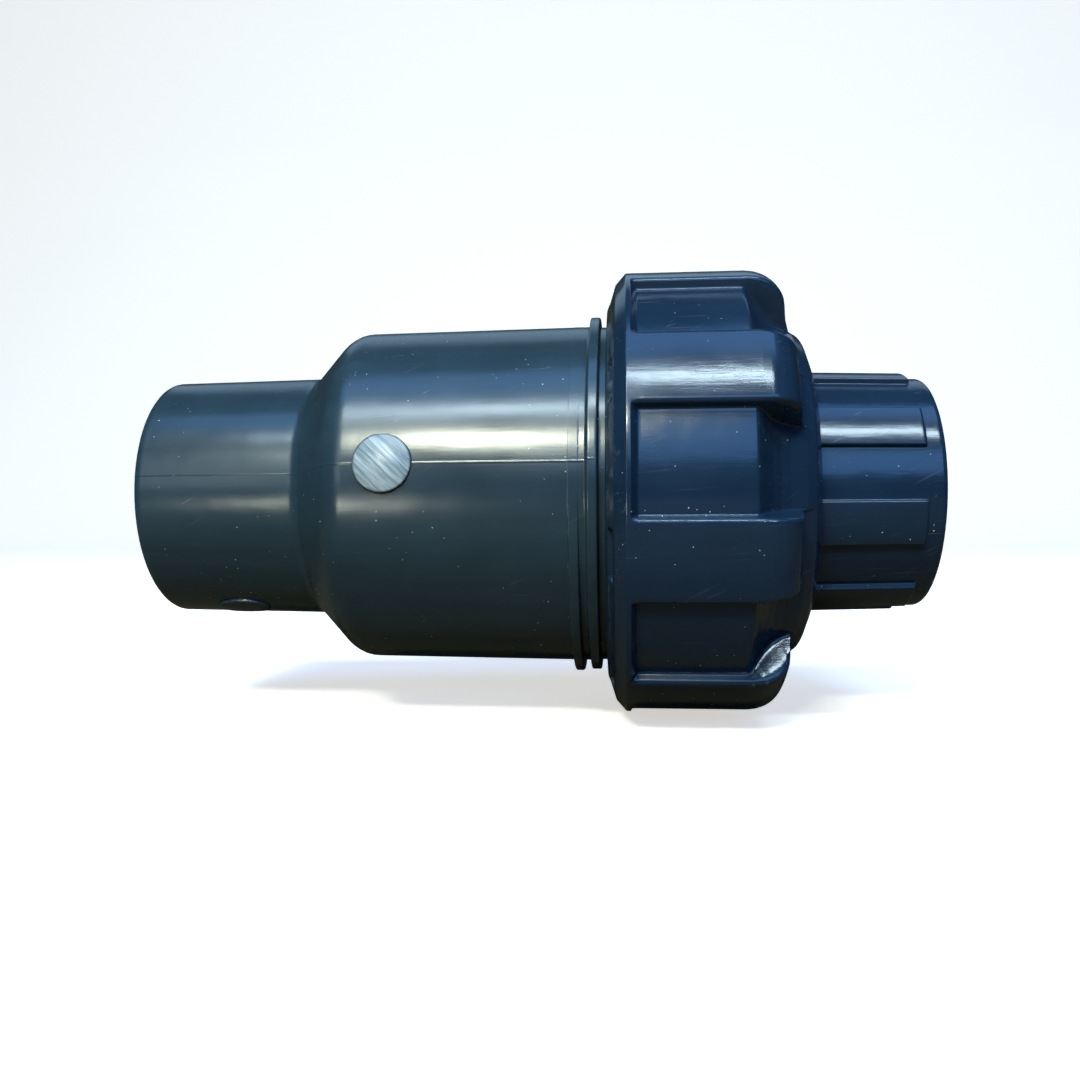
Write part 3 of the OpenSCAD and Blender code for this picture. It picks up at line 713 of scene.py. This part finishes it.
# ---------------------------------------------------------------- closing spring
def coil_tree():
    """Wire coil along X whose end turns lie closed, from its sizes."""
    tree = bpy.data.node_groups.new("wire_coil", "GeometryNodeTree")
    sizes = {"Turns": 7.0, "Radius": 0.0057, "Length": 0.02, "Wire": 0.001, "Start": 0.0}
    for key, default in sizes.items():
        socket = tree.interface.new_socket(name=key, in_out="INPUT", socket_type=FLOAT)
        socket.default_value = default
    tree.interface.new_socket(name="Material", in_out="INPUT", socket_type="NodeSocketMaterial")
    tree.interface.new_socket(name="Geometry", in_out="OUTPUT", socket_type="NodeSocketGeometry")
    gin = node(tree, "NodeGroupInput")
    gout = node(tree, "NodeGroupOutput")
    size = gin.outputs
    line = node(tree, "GeometryNodeCurvePrimitiveLine").outputs[0]
    fine = node(tree, "GeometryNodeResampleCurve", inputs={"Curve": line, "Count": 360}).outputs[0]
    share = node(tree, "GeometryNodeSplineParameter").outputs["Factor"]
    angle = math_node(tree, "MULTIPLY", math_node(tree, "MULTIPLY", share, size["Turns"]), 2 * math.pi)
    one_turn = math_node(tree, "DIVIDE", 1.0, size["Turns"])
    rest = math_node(tree, "SUBTRACT", 1.0, one_turn)

    free = math_node(tree, "SUBTRACT", size["Length"], math_node(tree, "MULTIPLY", size["Wire"], 3.0))
    end_turns = math_node(tree, "ADD", ramp(tree, share, 0.0, one_turn), ramp(tree, share, rest, 1.0))
    closed = math_node(tree, "MULTIPLY", size["Wire"], end_turns)
    travel = math_node(tree, "MULTIPLY_ADD", free, ramp(tree, share, one_turn, rest), closed)
    first = math_node(tree, "MULTIPLY_ADD", size["Wire"], 0.5, size["Start"])
    place = math_node(tree, "ADD", first, travel)
    y = math_node(tree, "MULTIPLY", size["Radius"], math_node(tree, "COSINE", angle))
    z = math_node(tree, "MULTIPLY", size["Radius"], math_node(tree, "SINE", angle))
    point = node(tree, "ShaderNodeCombineXYZ", inputs={0: place, 1: y, 2: z}).outputs[0]
    bent = node(tree, "GeometryNodeSetPosition", inputs={"Geometry": fine, "Position": point}).outputs[0]
    thickness = math_node(tree, "MULTIPLY", size["Wire"], 0.495)
    ring = node(tree, "GeometryNodeCurvePrimitiveCircle", inputs={
        "Resolution": 14, "Radius": thickness}).outputs[0]
    wire = node(tree, "GeometryNodeCurveToMesh", inputs={"Curve": bent, "Profile Curve": ring,
                "Fill Caps": True}).outputs[0]
    smooth = node(tree, "GeometryNodeSetShadeSmooth", inputs={"Geometry": wire}).outputs[0]
    real = node(tree, "GeometryNodeRealizeInstances", inputs={"Geometry": smooth}).outputs[0]
    done = node(tree, "GeometryNodeSetMaterial", inputs={
        "Geometry": real, "Material": size["Material"]}).outputs[0]
    tree.links.new(done, gout.inputs["Geometry"])
    return tree


def built_by_nodes(name, tree, values):
    """Plain mesh object made by a Geometry Nodes tree with the given input values."""
    carrier = bpy.data.objects.new(name + "_carrier", bpy.data.meshes.new(name + "_carrier"))
    bpy.context.scene.collection.objects.link(carrier)
    modifier = carrier.modifiers.new("shape", "NODES")
    modifier.node_group = tree
    for item in tree.interface.items_tree:
        if item.item_type == "SOCKET" and item.in_out == "INPUT" and item.name in values:
            modifier[item.identifier] = values[item.name]
    depsgraph = bpy.context.evaluated_depsgraph_get()
    mesh = bpy.data.meshes.new_from_object(carrier.evaluated_get(depsgraph), depsgraph=depsgraph)
    bpy.data.objects.remove(carrier)
    mesh.name = name
    obj = bpy.data.objects.new(name, mesh)
    bpy.context.scene.collection.objects.link(obj)
    return obj


def build_spring():
    low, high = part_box("closing_spring")
    wire = 0.001
    return built_by_nodes("closing_spring_coil", coil_tree(), {
        "Turns": 7.0, "Radius": high.y - wire / 2, "Length": high.x - low.x, "Wire": wire, "Start": low.x,
        "Material": STEEL})


# ---------------------------------------------------------------- put together
def install(piece, body, slot, *replaced):
    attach(piece, body)
    if replaced:
        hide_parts(*replaced)
    return piece


install(build_body(), "body", "body_plastic", "valve_body")
install(build_gate(), "body", "body_plastic")
for mark in build_marks():
    install(mark, "body", "body_plastic")
install(build_nut(), "nut", "nut_plastic", "union_nut")
install(build_connector(), "connector", "nut_plastic", "end_connector")
spring = install(build_spring(), "body", "steel", "closing_spring")
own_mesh(spring)

CARRIED_OVER = {
    "seat_ring": INNER_PLASTIC, "seat_ring_seal": RUBBER, "union_face_seal": RUBBER,
    "poppet": INNER_PLASTIC, "poppet_seal": RUBBER, "seal_clamp_plate": INNER_PLASTIC,
    "clamp_screw": STEEL, "clamp_screw_washer": STEEL, "spring_washer": STEEL,
    "stem_guide": INNER_PLASTIC, "guide_bush": BUSH_PLASTIC, "stem_clip": STEEL}
for name, material in CARRIED_OVER.items():
    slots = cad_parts[name].data.materials
    slots.clear()
    slots.append(material)


# ---------------------------------------------------------------- stage
def stage_material(name, seen, cast):
    """Pale to look at, and a quieter tone in what the valve reflects."""
    material, tree, shader = blank_material(name)
    path = node(tree, "ShaderNodeLightPath").outputs["Is Camera Ray"]
    tree.links.new(mix(tree, path, (*cast, 1), (*seen, 1)), shader.inputs["Base Color"])
    shader.inputs["Roughness"].default_value = 0.9
    shader.inputs["Specular IOR Level"].default_value = 0.1
    shader.inputs["Emission Color"].default_value = (1.0, 0.97, 0.93, 1)
    tree.links.new(math_node(tree, "MULTIPLY", path, 0.62), shader.inputs["Emission Strength"])
    return material


def build_floor():
    """Pale floor that curves up into a backdrop."""
    level, near, far, bend, top, half = -NUT_R - 0.6, -500.0, 420.0, 260.0, 900.0, 1500.0
    section = [(near, level)]
    for k in range(25):
        a = math.radians(90 * k / 24)
        section.append((far + bend * math.sin(a), level + bend * (1 - math.cos(a))))
    section.append((far + bend, top))
    verts = [(x, y, z) for y, z in section for x in (-half, half)]
    faces = [(2 * i, 2 * i + 1, 2 * i + 3, 2 * i + 2) for i in range(len(section) - 1)]
    mesh = bpy.data.meshes.new("floor")
    mesh.from_pydata([tuple(c * MM for c in v) for v in verts], [], faces)
    mesh.shade_smooth()
    mesh.materials.append(stage_material("floor_paper", (0.92, 0.92, 0.915), (0.085, 0.068, 0.034)))
    floor = bpy.data.objects.new("floor", mesh)
    bpy.context.scene.collection.objects.link(floor)


def area_light(name, where, aim, size, power, color):
    light = bpy.data.lights.new(name, "AREA")
    light.shape = "RECTANGLE"
    light.size, light.size_y = size
    light.energy = power
    light.color = color
    obj = bpy.data.objects.new(name, light)
    obj.location = where
    obj.rotation_euler = (Vector(aim) - Vector(where)).to_track_quat("-Z", "Y").to_euler()
    bpy.context.scene.collection.objects.link(obj)


def lit_from(name, side, elevation, distance, size, power, color):
    """Area light at an elevation seen from the valve, on the -Y side, turned towards it."""
    e = math.radians(elevation)
    where = (side, -distance * math.cos(e), distance * math.sin(e))
    area_light(name, where, (side * 0.1, 0, 0), size, power, color)


def build_lights():
    lit_from("sky_panel", 0.02, 80, 0.60, (0.75, 0.22), 1.5, (0.20, 0.45, 1.0))
    lit_from("front_sky", 0.22, 30, 0.60, (0.50, 0.24), 1.2, (0.17, 0.44, 1.0))
    lit_from("window_strip", 0.02, 58, 0.60, (0.54, 0.050), 3.3, (0.68, 0.88, 1.0))
    lit_from("lamp_strip", -0.083, 36.5, 0.50, (0.122, 0.055), 2.0, (0.95, 1.0, 0.80))
    lit_from("low_strip", -0.095, -6, 0.22, (0.055, 0.022), 0.065, (0.97, 1.0, 0.84))
    lit_from("rear_panel", 0.0, 138, 0.70, (0.80, 0.30), 0.6, (0.50, 0.75, 1.0))
    lit_from("left_fill", -0.27, 32, 0.60, (0.15, 0.50), 0.50, (0.75, 0.94, 1.0))


def build_world():
    world = bpy.data.worlds.new("studio")
    bpy.context.scene.world = world
    world.use_nodes = True
    tree = world.node_tree
    background = tree.nodes["Background"]
    path = node(tree, "ShaderNodeLightPath").outputs["Is Camera Ray"]
    tint = mix(tree, path, (0.020, 0.026, 0.026, 1), (0.9, 0.9, 0.9, 1))
    tree.links.new(tint, background.inputs["Color"])


def build_camera():
    """Level with the flow axis, looking a little down and to the left."""
    yaw, pitch, roll = math.radians(-5.01), math.radians(-2.58), math.radians(0.37)
    flat = Vector((math.sin(yaw), math.cos(yaw), 0))
    ahead = flat * math.cos(pitch) + Vector((0, 0, math.sin(pitch)))
    right = Vector((math.cos(yaw), -math.sin(yaw), 0))
    above = -flat * math.sin(pitch) + Vector((0, 0, math.cos(pitch)))
    image_right = right * math.cos(roll) - above * math.sin(roll)
    image_up = right * math.sin(roll) + above * math.cos(roll)
    camera = bpy.data.cameras.new("camera")
    camera.sensor_width = 36.0
    camera.lens = 100 / 3
    camera.clip_start = 0.01
    obj = bpy.data.objects.new("camera", camera)
    place = Matrix((image_right, image_up, -ahead)).transposed().to_4x4()
    place.translation = Vector((12.27, -138.06, 0)) * MM
    obj.matrix_world = place
    bpy.context.scene.collection.objects.link(obj)
    bpy.context.scene.camera = obj


build_floor()
build_lights()
build_world()
build_camera()
bpy.context.scene.view_settings.view_transform = "Standard"
